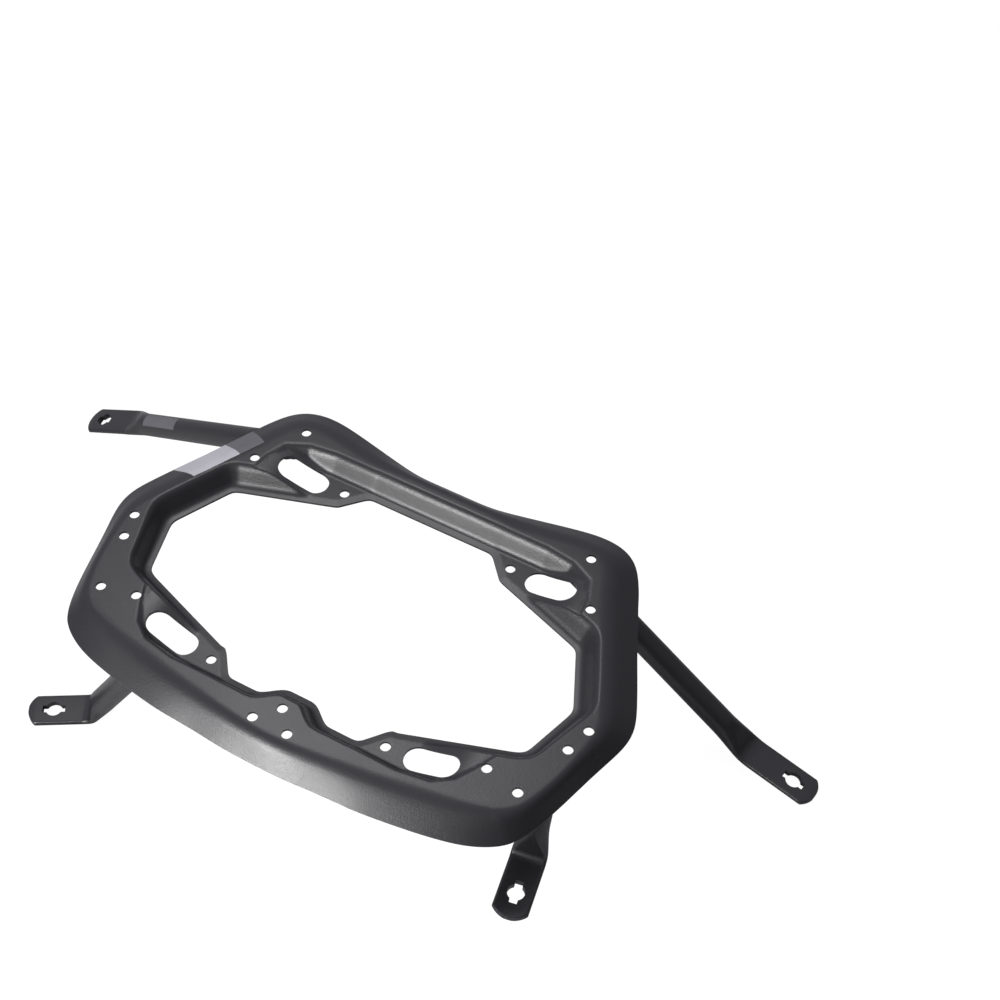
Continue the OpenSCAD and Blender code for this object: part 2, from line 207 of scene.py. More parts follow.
def height(points, angle, r, outer, bend):
    """Height of the outer face at points of the right half, with the distances of rim and crease.

    The bevel falls by the draw times the share of the way from the crease to the rim. The wall rises
    from the draw's foot by the distance from the opening, less the lip, times the draw over the run.
    A pocket has that slope too, by the distance from its outline, which counts as less than nothing
    inside it, and goes no lower than its ramp. The face is the smooth least of them, never under the
    foot, less the lip's drop near the opening.
    """
    bevel = -DRAW * (r - bend) / (outer - bend)
    slope = DRAW / run_at(points[..., 1])
    wall = smooth_max(-DRAW, -DRAW + (to_chain(points, OPENING) - LIP) * slope, FOOT_SOFT)
    t = np.clip((points[..., 0] - RAMP[0]) / (RAMP[1] - RAMP[0]), 0.0, 1.0)
    ramp = -DRAW * (1.0 - (t + ease(t)) / 2.0)
    sunk = np.full_like(r, CREST_SOFT)
    for chain in (WAIST_POCKET, BULGE_POCKET):
        bearing = np.arctan2(chain[:, 1], chain[:, 0])
        ahead = (angle > bearing[0]) & (angle < bearing[-1])
        inside = ahead & (r <= radius(chain, np.clip(angle, bearing[0], bearing[-1])))
        rise = to_chain(points, chain) * slope
        depth = np.where(inside, smooth_max(ramp, -rise, FOOT_SOFT), rise)
        sunk = np.where(ahead, np.minimum(sunk, depth), sunk)
    top = smooth_min(smooth_min(wall, sunk, WALL_BLEND), 0.0, CREST_SOFT)
    low = np.maximum(-DRAW, smooth_min(bevel, top, BEVEL_SOFT))
    near_edge = np.clip(1.0 - to_chain(points, OPENING) / LIP, 0.0, 1.0)
    return low - LIP_DROP * near_edge


def outer_face():
    """Grid of points of the plate's outer face: stations by rings by three coordinates.

    The rings are spread between six knots at each station: the opening, most of the lip, the far
    end of the wall or pocket, both ends of the crease's bend, and the rim.
    """
    angle = station_angles()
    edge = soften(radius(OPENING, angle), SHARP_CORNER)
    outer = soften(radius(RIM, angle), SOFT_CORNER)
    bend = soften(radius(CREASE, angle), SOFT_CORNER)
    u = np.stack([np.cos(angle), np.sin(angle)], -1)
    slant = PROBE / to_chain((edge + PROBE)[:, None] * u, OPENING)
    foot = edge + LIP * slant
    bound = edge + (LIP + run_at(edge * u[:, 1]) + CREST_SOFT) * slant
    for chain in (WAIST_POCKET, BULGE_POCKET):
        bearing = np.arctan2(chain[:, 1], chain[:, 0])
        inside = (angle > bearing[0]) & (angle < bearing[-1])
        bound = np.where(inside, np.maximum(bound, radius(chain, angle) + CREST_SOFT), bound)
    top = np.minimum(soften(bound, BOUND_CORNER), bend - BOUND_GAP)
    knots = np.stack([edge, edge + LIP_RINGS_REACH * (foot - edge), top, bend - BEND_HALF,
                      bend + BEND_HALF, outer], 1)
    pieces = []
    for i, count in enumerate(RING_COUNTS):
        share = np.linspace(0.0, 1.0, count + 1)[(0 if i == 0 else 1):]
        pieces.append(knots[:, i, None] * (1 - share) + knots[:, i + 1, None] * share)
    r = np.concatenate(pieces, 1)
    a = np.broadcast_to(angle[:, None], r.shape)
    points = np.stack([r * np.cos(a), r * np.sin(a)], -1)
    z = height(points, a, r, outer[:, None], bend[:, None])
    half = np.concatenate([points, z[..., None]], -1)
    other = half[-2:0:-1] * np.array([-1.0, 1.0, 1.0])
    return np.concatenate([half, other])


def grid_normals(grid):
    """Unit normals of a grid that closes round its stations, from the steps to its neighbours."""
    across = np.gradient(grid, axis=1)
    round_ring = np.roll(grid, -1, axis=0) - np.roll(grid, 1, axis=0)
    return unit(np.cross(across, round_ring))


def closed_sheet(grid, thick):
    """Adds the inner face and the slightly rounded cut edges, as one more loop of rings.

    A point of an edge stands off the middle of the sheet by the cosine of its turn times about half
    the thickness, along the normal, and by the sine of its turn times the bulge, outwards.
    """
    normal = grid_normals(grid)
    middle = grid - normal * thick / 2
    edge_out = unit(grid[:, -1] - grid[:, -2])
    edge_in = unit(grid[:, 0] - grid[:, 1])

    def edge(index, out, turn):
        rows = [middle[:, index] + normal[:, index] * math.cos(a) * thick / 2 * EDGE_HEIGHT
                + out * math.sin(a) * EDGE_BULGE for a in turn]
        return np.stack(rows, 1)

    return np.concatenate([grid, edge(-1, edge_out, EDGE_TURNS), (grid - normal * thick)[:, ::-1],
                           edge(0, edge_in, EDGE_TURNS[::-1])], 1)


# %% [markdown]
# Pressed sheet and bent tube are smooth all round, so each surface is a whole grid: its points are
# the vertices, and each cell is a four-sided face. Loops of edges could be bridged one by one. Arrays
# are quicker and give the same mesh each time. Holes and slots are punched last, as in a press, by
# taking prisms away.

# %% Mesh making
SHARP_DEGREES = 42.0

def grid_faces(rows, columns, round_rows, round_columns):
    """Four-sided faces of a grid, which may close round its rows, its columns or both."""
    i, j = np.meshgrid(np.arange(rows if round_rows else rows - 1),
                       np.arange(columns if round_columns else columns - 1), indexing="ij")
    i2 = (i + 1) % rows
    j2 = (j + 1) % columns
    corners = [i * columns + j, i * columns + j2, i2 * columns + j2, i2 * columns + j]
    return np.stack(corners, -1).reshape(-1, 4)


def make_mesh(name, points, quads, caps=()):
    """A smooth mesh object, with caps as lists of vertex indices and edges sharp over an angle."""
    points = np.asarray(points, dtype=float).reshape(-1, 3) * MM
    loops = np.concatenate([quads.ravel()] + [np.asarray(c) for c in caps]).astype(np.int32)
    sizes = np.concatenate([np.full(len(quads), 4), [len(c) for c in caps]]).astype(np.int32)
    mesh = bpy.data.meshes.new(name)
    mesh.vertices.add(len(points))
    mesh.vertices.foreach_set("co", points.ravel())
    mesh.loops.add(len(loops))
    mesh.loops.foreach_set("vertex_index", loops)
    mesh.polygons.add(len(sizes))
    starts = np.concatenate([[0], np.cumsum(sizes)[:-1]]).astype(np.int32)
    mesh.polygons.foreach_set("loop_start", starts)
    mesh.polygons.foreach_set("loop_total", sizes)
    mesh.update(calc_edges=True)
    mesh.validate()
    mesh.polygons.foreach_set("use_smooth", np.ones(len(sizes), dtype=bool))
    mesh.set_sharp_from_angle(angle=math.radians(SHARP_DEGREES))
    piece = bpy.data.objects.new(name, mesh)
    bpy.context.scene.collection.objects.link(piece)
    return piece


def prism(name, outline, low, high, pose=None):
    """A closed prism on a flat outline, from one height to another, placed by a 3 by 4 pose."""
    outline = np.asarray(outline, dtype=float)
    n = len(outline)
    base = np.concatenate([outline, np.full((n, 1), low)], 1)
    lid = np.concatenate([outline, np.full((n, 1), high)], 1)
    points = np.concatenate([base, lid])
    if pose is not None:
        points = points @ pose[:, :3].T + pose[:, 3]
    k = np.arange(n)
    quads = np.stack([k, (k + 1) % n, (k + 1) % n + n, k + n], -1)
    return make_mesh(name, points, quads, caps=[k[::-1], k + n])


def carve(piece, cutters):
    """Takes the cutters, joined in one mesh, out of a piece, and deletes them."""
    joined = bpy.data.meshes.new("cutters")
    build = bmesh.new()
    for cutter in cutters:
        build.from_mesh(cutter.data)
        bpy.data.objects.remove(cutter)
    build.to_mesh(joined)
    build.free()
    tool = bpy.data.objects.new("cutters", joined)
    bpy.context.scene.collection.objects.link(tool)
    modifier = piece.modifiers.new("cut", "BOOLEAN")
    modifier.object = tool
    modifier.operation = "DIFFERENCE"
    modifier.solver = "EXACT"
    shaped = piece.evaluated_get(bpy.context.evaluated_depsgraph_get())
    mesh = bpy.data.meshes.new_from_object(shaped)
    piece.modifiers.clear()
    old = piece.data
    piece.data = mesh
    bpy.data.meshes.remove(old)
    bpy.data.objects.remove(tool)
    piece.data.set_sharp_from_angle(angle=math.radians(SHARP_DEGREES))
    print(piece.name, "has", len(piece.data.polygons), "faces")


def circle(centre, r, count=40):
    """Points evenly round a circle."""
    a = np.linspace(0.0, 2 * math.pi, count, endpoint=False)
    return np.stack([centre[0] + r * np.cos(a), centre[1] + r * np.sin(a)], -1)


def slot_outline(centre, length, width, turn, count=20):
    """A slot with round ends: two half circles, turned about the slot's centre."""
    a = np.linspace(-math.pi / 2, math.pi / 2, count)
    end = np.stack([np.cos(a), np.sin(a)], -1) * width / 2 + np.array([(length - width) / 2, 0.0])
    both = np.concatenate([end, -end])
    c, s = math.cos(turn), math.sin(turn)
    return both @ np.array([[c, s], [-s, c]]) + np.asarray(centre)


def upright(outline):
    """A cutter on an outline, which reaches well past both faces of the plate."""
    return prism("cut", outline, -3 * DRAW, DRAW)


def slot_cutter(side, up, clear=0.0):
    """The slot of one end and side of the plate, widened all round by a clearance."""
    centre = (side * SLOT_CENTRE[0], up * SLOT_CENTRE[1])
    return upright(slot_outline(centre, SLOT_LENGTH + 2 * clear, SLOT_WIDTH + 2 * clear,
                                -side * up * SLOT_TURN))


# %% [markdown]
# The plate is the drawn face with its thickness, its rounded edges, and its round holes and slots.
# The holes could be left out of the grid from the start, but each would bend the rings round it and
# show in the gloss. So they are punched out of the finished sheet.

# %% Make the plate


def make_plate():
    """The drawn sheet with its holes and slots, and the grid of its outer face."""
    face = outer_face()
    sheet = closed_sheet(face, SHEET)
    drawn = make_mesh("plate_sheet", sheet, grid_faces(len(sheet), sheet.shape[1], True, True))
    cutters = []
    for side in (-1, 1):
        cutters += [upright(circle((side * x, y), HOLE_D / 2)) for x, y in HOLES]
        cutters += [slot_cutter(side, up) for up in (-1, 1)]
    cutters.append(upright(circle(TOP_MIDDLE_HOLE, HOLE_D / 2)))
    carve(drawn, cutters)
    return drawn, face


plate, plate_face = make_plate()
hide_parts("carrier_plate")

# %% [markdown]
# A stay is a round tube whose end is pressed flat into a tab. Its section is a rounded rectangle:
# a circle along the tube, and 24 mm by 4.4 mm with folded round sides along the tab. The tab ends
# in an arc and has a round hole with two notches. A pipe and a flat bar could be joined instead, but
# the press leaves one skin that passes from round to flat. So one grid of sections follows the middle
# line, and the foot of each line along it is moved on to the plate's inner face.

# %% Stay dimensions
TUBE_D = 18.0
TAB_WIDTH = 24.0
TAB_THICK = 4.4
PRESS_LENGTH = 28.0
BEND_REACH = 7.0
TIP_CORNER = 12.5
TIP_END = 18.0
KEY_D = 11.5
KEY_WIDTH = 5.5
KEY_LENGTH = 16.0
SLOT_CLEAR = 1.0
TUBE_ROWS = 24
PRESS_ROWS = 42
TAB_ROWS = 20
TIP_ROWS = 14
TIP_LAST_TURN = 0.16
TIP_CORNERS = (0.8, 0.2)
LEAST_CORNER = 0.5
BEVEL_RING = sum(RING_COUNTS[:4]) + 2
WALL_RING = RING_COUNTS[0] + RING_COUNTS[1] // 2 + 8
BEVEL_STEP = STATIONS // 36
RIM_LEAN = 0.3

STAYS = {
    "long_stay_left": dict(start=(-127.3, 93.9, -6), hole=(-350, 139, -146),
                           along=(-0.881, 0.033, -0.472), normal=(-0.47, -0.169, 0.866), flat=36.0),
    "long_stay_right": dict(start=(89, 109.5, -12), hole=(289.7, 83.5, -110),
                            along=(0.983, -0.147, -0.111), normal=(0.115, 0.033, 0.993), flat=36.0),
    "short_stay_left": dict(start=(-103, -106, -11.5), hole=(-193.2, -117.3, -120),
                            along=(-0.853, -0.522, 0), normal=(0, 0, 1), flat=27.5),
    "short_stay_right": dict(start=(168.4, -58, -11), hole=(176, -106, -62),
                             along=(0.2, -0.975, 0.05), normal=(0.02, 0.055, 1), flat=28.3),
}


# %% Make a stay
def rounded_section(half_width, half_thick, corner, count=10):
    """Points of a rounded rectangle for each row: flats joined by four quarter circles."""
    quarter = np.linspace(0.0, math.pi / 2, count)
    signs = [(1, 1), (-1, 1), (-1, -1), (1, -1)]
    parts = []
    for k, (sx, sy) in enumerate(signs):
        a = quarter + k * math.pi / 2
        x = sx * (half_width - corner)[:, None] + corner[:, None] * np.cos(a)
        y = sy * (half_thick - corner)[:, None] + corner[:, None] * np.sin(a)
        parts.append(np.stack([x, y], -1))
    return np.concatenate(parts, 1)


def meet(origin, direction, plane_point, plane_normal):
    """How far along a direction each origin meets a plane.

    It is the step from the origin to the plane's point, dotted with the plane's normal, over the
    direction dotted with that normal.
    """
    return ((plane_point - origin) @ plane_normal) / (direction @ plane_normal)


def cope_planes(start):
    """Planes along the plate's inner face near a stay's start, each with its outward normal.

    They are the flat under the outer face, three along the bevel and one along the wall. The last
    value is the upright plane at the rim, past which nothing is coped.
    """
    normals = grid_normals(plate_face)
    gap = np.linalg.norm(plate_face[:, BEVEL_RING, :2] - start[:2], axis=-1)
    middle = int(np.argmin(gap))
    planes = [(np.array([0.0, 0.0, -SHEET]), np.array([0.0, 0.0, 1.0]))]
    for shift, ring in ((-BEVEL_STEP, BEVEL_RING), (0, BEVEL_RING), (BEVEL_STEP, BEVEL_RING),
                        (0, WALL_RING)):
        i = (middle + shift) % len(plate_face)
        planes.append((plate_face[i, ring] - SHEET * normals[i, ring], normals[i, ring]))
    rim = plate_face[middle, -1]
    outward = (rim - plate_face[middle, BEVEL_RING]) * np.array([1.0, 1.0, 0.0])
    return planes, (rim, unit(outward))


def make_stay(name, start, hole, along, normal, flat):
    """A tube from under the plate, its pressed end and its tab, as one grid of sections.

    The bend is a parabola from one reach before the knee to one reach past it. The tip's radius is
    the square of half the tab's width plus the square of the tip's rise, over twice the rise.
    """
    start, hole = np.array(start, float), np.array(hole, float)
    tab_dir, tab_normal = unit(along), unit(normal)
    tab_side = np.cross(tab_normal, tab_dir)
    knee = hole - flat * tab_dir - TAB_THICK / 2 * tab_normal
    tube_dir = unit(knee - start)
    tube_side = unit(tab_side - tube_dir * (tab_side @ tube_dir))
    round_end = knee - PRESS_LENGTH * tube_dir
    tube_rows = np.linspace(0.0, 1.0, TUBE_ROWS)[:, None]
    tube = start + (round_end - start) * tube_rows
    d = np.linspace(-PRESS_LENGTH, BEND_REACH, PRESS_ROWS)[1:, None]
    t = np.clip((d + BEND_REACH) / (2 * BEND_REACH), 0.0, 1.0)
    press = knee + np.minimum(d, -BEND_REACH) * tube_dir + BEND_REACH * (
        (1 - (1 - t) ** 2) * tube_dir + t * t * tab_dir)
    rise = TIP_END - TIP_CORNER
    tip_radius = ((TAB_WIDTH / 2) ** 2 + rise ** 2) / (2 * rise)
    lengths = np.linspace(BEND_REACH, flat + TIP_CORNER, TAB_ROWS)[1:, None]
    tab = knee + lengths * tab_dir
    turn = np.linspace(math.asin(TAB_WIDTH / 2 / tip_radius), TIP_LAST_TURN, TIP_ROWS)[1:, None]
    tip = knee + (flat + TIP_END - tip_radius + tip_radius * np.cos(turn)) * tab_dir
    centre = np.concatenate([tube, press, tab, tip])
    n_tube, n_tab, n_tip = len(tube), len(tab), len(tip)
    dirs = np.concatenate([np.repeat(tube_dir[None], n_tube, 0),
                           unit(tube_dir * (1 - t) + tab_dir * t),
                           np.repeat(tab_dir[None], n_tab + n_tip, 0)])
    mix = ease(1 + d / PRESS_LENGTH)
    sides = np.concatenate([np.repeat(tube_side[None], n_tube, 0),
                            tube_side * (1 - mix) + tab_side * mix,
                            np.repeat(tab_side[None], n_tab + n_tip, 0)])
    wide = unit(sides - dirs * (sides * dirs).sum(-1, keepdims=True))
    thick = np.cross(dirs, wide)
    share = np.concatenate([np.zeros(n_tube), mix[:, 0], np.ones(n_tab + n_tip)])
    half_width = TUBE_D / 2 * (1 - share) + TAB_WIDTH / 2 * share
    half_width[-n_tip:] = (tip_radius * np.sin(turn))[:, 0]
    half_thick = TUBE_D / 2 * (1 - share) + TAB_THICK / 2 * share
    corner = half_thick.copy()
    corner[-n_tip:] = np.maximum(LEAST_CORNER, corner[-n_tip:] * np.linspace(*TIP_CORNERS, n_tip))
    section = rounded_section(half_width, half_thick, corner)
    points = centre[:, None] + section[..., :1] * wide[:, None] + section[..., 1:] * thick[:, None]
    planes, rim_plane = cope_planes(start)
    foot = np.max([meet(points[0], tube_dir, p, n) for p, n in planes], 0)
    under = np.ones(len(foot), dtype=bool)
    if tube_dir @ rim_plane[1] > RIM_LEAN:
        limit = meet(points[0], tube_dir, *rim_plane)
        under = foot < limit
        foot = np.minimum(foot, limit)
    points[:n_tube] += ((1.0 - tube_rows) * foot[None])[..., None] * tube_dir
    rows, columns = points.shape[:2]
    quads = grid_faces(rows, columns, False, True)[:, ::-1]
    last = (rows - 1) * columns
    stay = make_mesh(name + "_tube", points, quads,
                     caps=[np.arange(columns), last + np.arange(columns)[::-1]])
    placed = np.stack([tab_dir, tab_side, tab_normal, hole], 1)
    key = prism("cut", key_outline(), -3 * TAB_THICK, 2 * TAB_THICK, placed)
    carve(stay, [key, slot_over(start)])
    return stay, points[0], under, tube_dir


def slot_over(start):
    """The slot on a stay's side of the plate, a little wider, as a cutter that keeps it clear."""
    return slot_cutter(math.copysign(1, start[0]), math.copysign(1, start[1]), SLOT_CLEAR)


def key_outline():
    """A circle with a notch at each end, along the tab."""
    half = KEY_WIDTH / 2
    meets = math.asin(half / (KEY_D / 2))
    a = np.linspace(meets, math.pi - meets, 24)
    top = np.stack([np.cos(a), np.sin(a)], -1) * KEY_D / 2
    left = np.array([(-KEY_LENGTH / 2, half), (-KEY_LENGTH / 2, -half)])
    return np.concatenate([top, left, -top, -left])


# %% [markdown]
# Each stay is welded into the hollow under the plate. A weld bead is a thread of metal with ripples
# where the torch moved on. It could be a pattern in the paint's bump, but it stands out from the tube,
# so it is a thin mesh along the ring where the tube meets the plate.

# %% Make the stays and their weld beads
BEAD_D = 2.5
BEAD_OUT = 0.25
BEAD_DOWN = 0.6
BEAD_STEPS = 180
BEAD_SIDES = 10
RIPPLE_HEIGHT = 0.16
RIPPLE_LENGTH = 2.2
SWELL_HEIGHT = 0.06
SWELL_TURN = 0.37


def make_bead(name, ring, under, tube_dir):
    """A weld bead round the foot of a tube: a round thread with ripples, on the ring where it meets.

    Where part of the ring lies past the plate's rim, the thread is open and leaves that part out.
    The thread's radius is half the bead's width, times one plus the ripple, which is the size of a
    sine of the way along, plus a slower sine for the swell.
    """
    whole = under.all()
    if whole:
        closed = np.concatenate([ring, ring[:1]])
    else:
        first = int(np.argmax(under & ~np.roll(under, 1)))
        closed = np.roll(ring, -first, axis=0)[:under.sum()]
    run = np.concatenate([[0.0], np.cumsum(np.linalg.norm(np.diff(closed, axis=0), axis=1))])
    s = np.linspace(0.0, run[-1], BEAD_STEPS, endpoint=not whole)
    path = np.stack([np.interp(s, run, closed[:, k]) for k in range(3)], -1)
    centre = ring.mean(0)
    out = path - centre
    out = unit(out - (out @ tube_dir)[:, None] * tube_dir)
    a = np.linspace(0.0, 2 * math.pi, BEAD_SIDES, endpoint=False)
    ripple = (1.0 + RIPPLE_HEIGHT * np.abs(np.sin(s / RIPPLE_LENGTH))
              + SWELL_HEIGHT * np.sin(s * SWELL_TURN))
    r = (BEAD_D / 2 * ripple)[:, None]
    mid = path + out * BEAD_D * BEAD_OUT + tube_dir * BEAD_D * BEAD_DOWN
    points = (mid[:, None] + (r * np.cos(a))[..., None] * out[:, None]
              + (r * np.sin(a))[..., None] * tube_dir)
    ends = np.arange(BEAD_SIDES)
    caps = () if whole else (ends[::-1], ends + (BEAD_STEPS - 1) * BEAD_SIDES)
    return make_mesh(name, points, grid_faces(BEAD_STEPS, BEAD_SIDES, whole, True), caps=caps)


pieces = [plate]
for stay_name, values in STAYS.items():
    stay_piece, foot_ring, under_plate, foot_dir = make_stay(stay_name, **values)
    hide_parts(stay_name)
    bead = make_bead(stay_name + "_weld", foot_ring, under_plate, foot_dir)
    carve(bead, [slot_over(values["start"])])
    pieces += [stay_piece, bead]

# %% [markdown]
# Three blank labels of thin film. Two lie end to end on the bevel, from the cut edge to just past the
# crease, and one is wrapped round the top of the long left stay. They could be patches in the coat's
# material, but a film has an edge and a gloss of its own, so each is a closed sheet that repeats the
# surface under it.

# %% Labels
FILM = 0.12
FILM_GAP = 0.01
LABEL_ROWS = 12
LABEL_COLUMNS = 18
LABEL_RINGS = (41, 54)
SILVER_STATIONS = (434, 460)
GREY_STATIONS = (417, 435)
TUBE_LABEL = (146.0, 197.0)
TUBE_LABEL_TURN = (-8.0, 60.0)
TUBE_LABEL_FACING = (0.479, -0.482, 0.735)


def film(name, grid, normals):
    """A closed film on a grid of points: its top and its foot, joined round the four sides."""
    top = grid + normals * FILM
    sheet = np.concatenate([top, (grid + normals * FILM_GAP)[:, ::-1]], 1)
    rows, columns = sheet.shape[:2]
    quads = grid_faces(rows, columns, False, True)
    first = np.arange(columns)
    return make_mesh(name, sheet, quads, caps=[first[::-1], (rows - 1) * columns + first])


def plate_label(name, stations):
    """A film on the plate's outer face, over a run of its stations."""
    part = slice(*stations), slice(*LABEL_RINGS)
    return film(name, plate_face[part], grid_normals(plate_face)[part])


def tube_label(name, values):
    """Rows along the tube and columns round it, about the direction that the label faces."""
    hole, tab_dir, tab_normal = (np.array(values[k], float) for k in ("hole", "along", "normal"))
    start = np.array(values["start"], float)
    knee = hole - values["flat"] * unit(tab_dir) - TAB_THICK / 2 * unit(tab_normal)
    tube_dir = unit(knee - start)
    face = np.array(TUBE_LABEL_FACING)
    face = unit(face - (face @ tube_dir) * tube_dir)
    up = np.cross(face, tube_dir)
    up = up * np.sign(up[1])
    t = np.linspace(*TUBE_LABEL, LABEL_ROWS)[:, None, None]
    a = np.radians(np.linspace(*TUBE_LABEL_TURN, LABEL_COLUMNS))[None, :, None]
    out = np.repeat(face * np.cos(a) + up * np.sin(a), LABEL_ROWS, 0)
    grid = start + tube_dir * t + out * (TUBE_D / 2)
    return film(name, grid[:, ::-1], out[:, ::-1])


silver_labels = [plate_label("label_silver", SILVER_STATIONS)]
grey_labels = [plate_label("label_grey", GREY_STATIONS),
               tube_label("label_tube", STAYS["long_stay_left"])]
print("labels:", [piece.name for piece in silver_labels + grey_labels])

# %% [markdown]
# The paint is a black powder coat, baked on, with a satin gloss and the fine dimples that the powder
# leaves. A picture could carry them, but it would need an unwrapped mesh and blur close up. So the
# colour, roughness and bump of each Principled surface are patterns in space. A wire is a socket that
# can be added and multiplied, and each such sum or product makes a Math node.

# %% Material helpers
COAT_DARK = (0.0085, 0.0083, 0.0098, 1.0)
COAT_LIGHT = (0.0125, 0.0122, 0.0145, 1.0)
CLOUD_SCALE = 22.0
GRAIN_SCALE = 1000.0
PEEL_SCALE = 330.0
COAT_ROUGHNESS = 0.25
UNEVEN_GLOSS = 0.10
PEEL_SHARE = 0.3
GRAIN_SHARE = 0.7
BUMP_STRENGTH = 0.26
BUMP_DEPTH = 0.0004
SILVER = ((0.36, 0.36, 0.385, 1.0), (0.44, 0.44, 0.465, 1.0))
GREY = ((0.07, 0.07, 0.078, 1.0), (0.11, 0.11, 0.12, 1.0))
SILVER_ROUGHNESS = 0.45
GREY_ROUGHNESS = 0.4
FILM_CLOUD_SCALE = 60.0
class Wire:
    """A socket of a material's node tree, on which plain arithmetic makes Math nodes."""

    def __init__(self, board, socket):
        self.board = board
        self.socket = socket

    def join(self, operation, first, second):
        """A Math node's result on two values, each a wire or a number."""
        return self.board.add("ShaderNodeMath", {0: first, 1: second}, operation=operation)

    def __add__(self, other):
        return self.join("ADD", self, other)

    def __radd__(self, other):
        return self.join("ADD", other, self)

    def __mul__(self, other):
        return self.join("MULTIPLY", self, other)

    def __rmul__(self, other):
        return self.join("MULTIPLY", other, self)

class Board:
    """The node tree of a material or a world, with one method that adds any node to it."""

    def __init__(self, owner):
        owner.use_nodes = True
        self.owner = owner
        self.tree = owner.node_tree

    def set(self, node, key, value):
        """Links a wire to a node's input, or writes a plain value there."""
        if isinstance(value, Wire):
            self.tree.links.new(value.socket, node.inputs[key])
        else:
            node.inputs[key].default_value = value

    def add(self, kind, inputs=None, output=0, **settings):
        """Adds a node of a type with its settings and inputs, and returns one output as a wire."""
        node = self.tree.nodes.new(kind)
        for key, value in settings.items():
            setattr(node, key, value)
        for key, value in (inputs or {}).items():
            self.set(node, key, value)
        return Wire(self, node.outputs[output])

    def finish(self, **inputs):
        """Sets the inputs of the Principled surface and returns the material."""
        for key, value in inputs.items():
            self.set(self.tree.nodes["Principled BSDF"], key.replace("_", " "), value)
        return self.owner

    def noise(self, scale, detail=2.0):
        """Noise in the piece's own space."""
        place = self.add("ShaderNodeTexCoord", output="Object")
        return self.add("ShaderNodeTexNoise", {"Vector": place, "Scale": scale, "Detail": detail},
                        output="Fac")

    def between(self, factor, dark, light):
        """A mix of two colours."""
        return self.add("ShaderNodeMix", {0: factor, 6: dark, 7: light}, output=2, data_type="RGBA")

    def bump(self, height_wire, strength, distance):
        """A normal that is tilted by the slope of a height."""
        return self.add("ShaderNodeBump", {"Height": height_wire, "Strength": strength,
                                           "Distance": distance}, output="Normal")


def powder_coat():
    """Black satin powder coat: a fine orange peel, faint cloudiness and slightly uneven gloss."""
    board = Board(bpy.data.materials.new("powder_coat"))
    cloud = board.noise(CLOUD_SCALE, 3.0)
    grain = board.noise(GRAIN_SCALE, 2.0)
    peel = board.noise(PEEL_SCALE, 1.0)
    colour = board.between(cloud, COAT_DARK, COAT_LIGHT)
    roughness = COAT_ROUGHNESS + UNEVEN_GLOSS * cloud + UNEVEN_GLOSS * grain
    normal = board.bump(PEEL_SHARE * peel + GRAIN_SHARE * grain, BUMP_STRENGTH, BUMP_DEPTH)
    return board.finish(Base_Color=colour, Roughness=roughness, Normal=normal)


def label_film(name, dark, light, roughness):
    """Printed film with its print left blank: one colour with a faint cloud."""
    board = Board(bpy.data.materials.new(name))
    colour = board.between(board.noise(FILM_CLOUD_SCALE, 3.0), dark, light)
    return board.finish(Base_Color=colour, Roughness=roughness)


def dress(group, material):
    """Gives pieces a material and puts them on the one body."""
    for piece in group:
        piece.data.materials.clear()
        piece.data.materials.append(material)
        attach(piece, "root")
    print(material.name, "on", len(group), "pieces")


dress(pieces, powder_coat())
dress(silver_labels, label_film("film_silver", *SILVER, SILVER_ROUGHNESS))
dress(grey_labels, label_film("film_grey", *GREY, GREY_ROUGHNESS))

# %% [markdown]
# The carrier lies on three of its tabs, so the floor is the plane through their lowest points, a few
# degrees from level in the plate's own frame. What the camera sees of it is mostly an even white,
# mixed with a little of its shaded surface, so that a faint shadow stays under the tabs. A brighter
# lamp could whiten it as well, but would wash out the coat.
# %% Floor
FLOOR_SLOPE = (0.0538, -0.0949)
FLOOR_REACH = 6000.0
FLOOR_WHITE = 0.8
FLOOR_GLOW = 1.2
FLOOR_GREY = (0.45, 0.45, 0.45, 1.0)
FLOOR_ROUGHNESS = 0.9
WHITE = (1.0, 1.0, 1.0, 1.0)


def make_floor():
    """The plane through the lowest points, with its white for the camera alone."""
    low = 0.0
    for piece in pieces:
        points = np.empty(len(piece.data.vertices) * 3)
        piece.data.vertices.foreach_get("co", points)
        points = points.reshape(-1, 3) / MM
        low = min(low, (points[:, 2] - points[:, :2] @ np.array(FLOOR_SLOPE)).min())
    corners = np.array([(-1, -1), (1, -1), (1, 1), (-1, 1)]) * FLOOR_REACH
    z = corners @ np.array(FLOOR_SLOPE) + low
    floor = make_mesh("floor", np.concatenate([corners, z[:, None]], 1), np.array([[0, 1, 2, 3]]))
    board = Board(bpy.data.materials.new("floor_white"))
    board.finish(Base_Color=FLOOR_GREY, Roughness=FLOOR_ROUGHNESS)
    seen = board.add("ShaderNodeLightPath", output="Is Camera Ray")
    white = board.add("ShaderNodeEmission", {"Color": WHITE, "Strength": FLOOR_GLOW})
    shaded = Wire(board, board.tree.nodes["Principled BSDF"].outputs[0])
    mixed = board.add("ShaderNodeMixShader", {0: seen * FLOOR_WHITE, 1: shaded, 2: white})
    board.set(board.tree.nodes["Material Output"], "Surface", mixed)
    floor.data.materials.append(board.owner)
    print("floor height under the origin:", round(low, 1), "mm")


make_floor()

# %% [markdown]
# Studio light. Black satin paint shows little but what it mirrors, so each light stands where a
# surface of the carrier mirrors it to the camera. Even light from all sides would be simpler, but
# the coat would turn a flat grey. The sky grows brighter towards one axis, up and to the far left.
# The top box lights the flats, the sheen box is the pale patch on the bulged edge's bevel, and the
# front box is what the steep wall on the waisted side shows. For the camera itself the sky is plain
# white.

